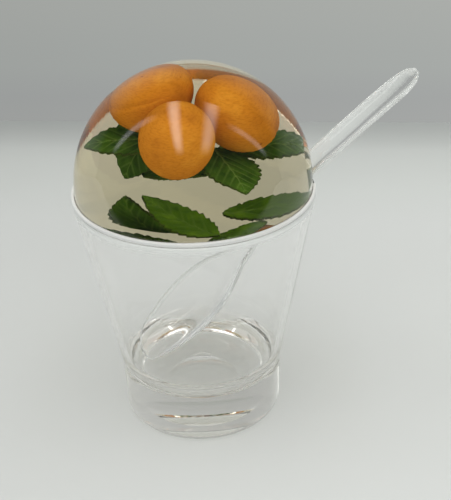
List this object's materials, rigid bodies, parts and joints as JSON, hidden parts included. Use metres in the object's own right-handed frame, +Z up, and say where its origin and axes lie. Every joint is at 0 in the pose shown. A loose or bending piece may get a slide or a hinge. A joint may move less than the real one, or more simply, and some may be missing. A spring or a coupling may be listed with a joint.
{
  "type": "jam pot",
  "caption": "Clear tapered jam pot with a lift-off domed lid cast round fruit and leaves, and a long curved spoon that leaves by a notch in the lid.",
  "frame": {"origin": "centre of the flat foot, on the jar's axis, at the surface that the pot stands on", "axes": "+Z up along the jar's axis, +X to the side where the spoon's handle comes out"},
  "size_m": [0.1219, 0.086, 0.1353],
  "materials": {
    "jar_clear": "clear, polished",
    "lid_clear": "clear, polished",
    "dome_resin": "clear, slightly yellowed casting resin, polished",
    "apricot_skin": "satin orange skin",
    "leaf_green": "satin dark green with paler veins",
    "spoon_clear": "clear, polished"
  },
  "bodies": {
    "pot": {"jar": "jar_clear"},
    "lid": {"lid_plate": "lid_clear", "dome_skirt": "dome_resin", "dome_core": "dome_resin", "dome": "dome_resin", "apricot_front": "apricot_skin", "apricot_left": "apricot_skin", "apricot_right": "apricot_skin", "leaf_left": "leaf_green", "leaf_left_front": "leaf_green", "leaf_front": "leaf_green", "leaf_right_front": "leaf_green", "leaf_right": "leaf_green"},
    "spoon": {"spoon": "spoon_clear"}
  },
  "joints": [
    {"name": "lid_lift", "type": "slide", "parent": "pot", "child": "lid", "axis": [0, 0, 1], "range_m": [0, 0.06]},
    {"name": "spoon_draw", "type": "slide", "parent": "pot", "child": "spoon", "axis": [0.5494, -0.0265, 0.8352], "range_m": [0, 0.018]}
  ]
}
